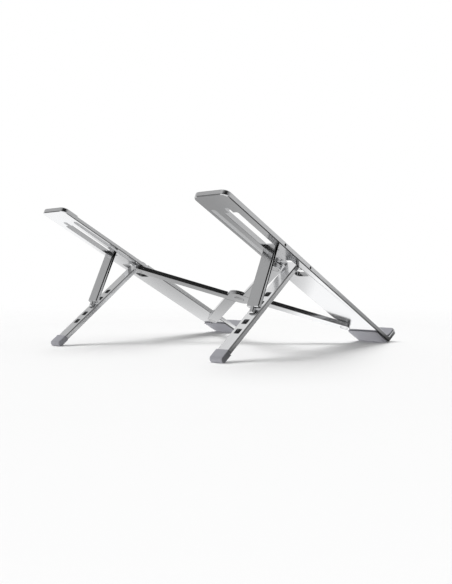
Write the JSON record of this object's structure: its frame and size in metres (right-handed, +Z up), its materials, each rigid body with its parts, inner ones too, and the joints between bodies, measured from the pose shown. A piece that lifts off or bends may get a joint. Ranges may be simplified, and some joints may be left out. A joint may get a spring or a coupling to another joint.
{
  "type": "laptop stand",
  "caption": "Folding stand that tilts a laptop: sloping arms with front lips, scissor crossbars, and legs held by struts.",
  "frame": {"origin": "centre of the footprint on the floor plane under the foot pads and foot caps", "axes": "+Y from the front lips to the raised rear ends, +Z up, +X to the user's right when the user faces the stand"},
  "size_m": [0.217, 0.245, 0.121],
  "materials": {
    "aluminium": "fine blasted satin",
    "silicone": "matt",
    "pin_steel": "satin"
  },
  "bodies": {
    "left_arm": {"arm_left": "aluminium", "foot_pad_left": "silicone", "lip_lining_left": "silicone", "grip_strip_left": "silicone", "leg_pin_left": "pin_steel", "strut_pin_left": "pin_steel", "front_pivot_left": "pin_steel"},
    "right_arm": {"arm_right": "aluminium", "foot_pad_right": "silicone", "lip_lining_right": "silicone", "grip_strip_right": "silicone", "leg_pin_right": "pin_steel", "strut_pin_right": "pin_steel", "front_pivot_right": "pin_steel"},
    "lower_crossbar": {"crossbar_lower": "aluminium", "slide_pin_right": "pin_steel", "hub_rivet": "pin_steel"},
    "upper_crossbar": {"crossbar_upper": "aluminium", "slide_pin_left": "pin_steel"},
    "left_leg": {"leg_left": "aluminium", "foot_cap_left": "silicone"},
    "right_leg": {"leg_right": "aluminium", "foot_cap_right": "silicone"},
    "left_strut": {"strut_left": "aluminium"},
    "right_strut": {"strut_right": "aluminium"}
  },
  "joints": [
    {"name": "crossbar_fold", "type": "hinge", "parent": "left_arm", "child": "lower_crossbar", "pos_m": [-0.0818, -0.07419, 0.01595], "axis": [0, -0.4487, 0.8937], "range_deg": [0, 51.05]},
    {"name": "crossing_fold", "type": "hinge", "parent": "lower_crossbar", "child": "upper_crossbar", "pos_m": [0, -0.02177, 0.04227], "axis": [0, -0.4487, 0.8937], "range_deg": [-102.1, 0]},
    {"name": "right_arm_fold", "type": "hinge", "parent": "upper_crossbar", "child": "right_arm", "pos_m": [0.0818, -0.07419, 0.01595], "axis": [0, -0.4487, 0.8937], "range_deg": [0, 51.05]},
    {"name": "left_leg_fold", "type": "hinge", "parent": "left_arm", "child": "left_leg", "pos_m": [-0.0953, 0.01992, 0.06801], "axis": [-1, 0, 0], "range_deg": [0, 116.64]},
    {"name": "right_leg_fold", "type": "hinge", "parent": "right_arm", "child": "right_leg", "pos_m": [0.0953, 0.01992, 0.06801], "axis": [-1, 0, 0], "range_deg": [0, 116.64]},
    {"name": "left_strut_fold", "type": "hinge", "parent": "left_arm", "child": "left_strut", "pos_m": [-0.0953, 0.05352, 0.08488], "axis": [1, 0, 0], "range_deg": [0, 91.53]},
    {"name": "right_strut_fold", "type": "hinge", "parent": "right_arm", "child": "right_strut", "pos_m": [0.0953, 0.05352, 0.08488], "axis": [1, 0, 0], "range_deg": [0, 91.53]}
  ],
  "couplings": [
    {"joint": "crossing_fold", "follows": "crossbar_fold", "ratio": -2},
    {"joint": "right_arm_fold", "follows": "crossbar_fold", "ratio": 1}
  ]
}
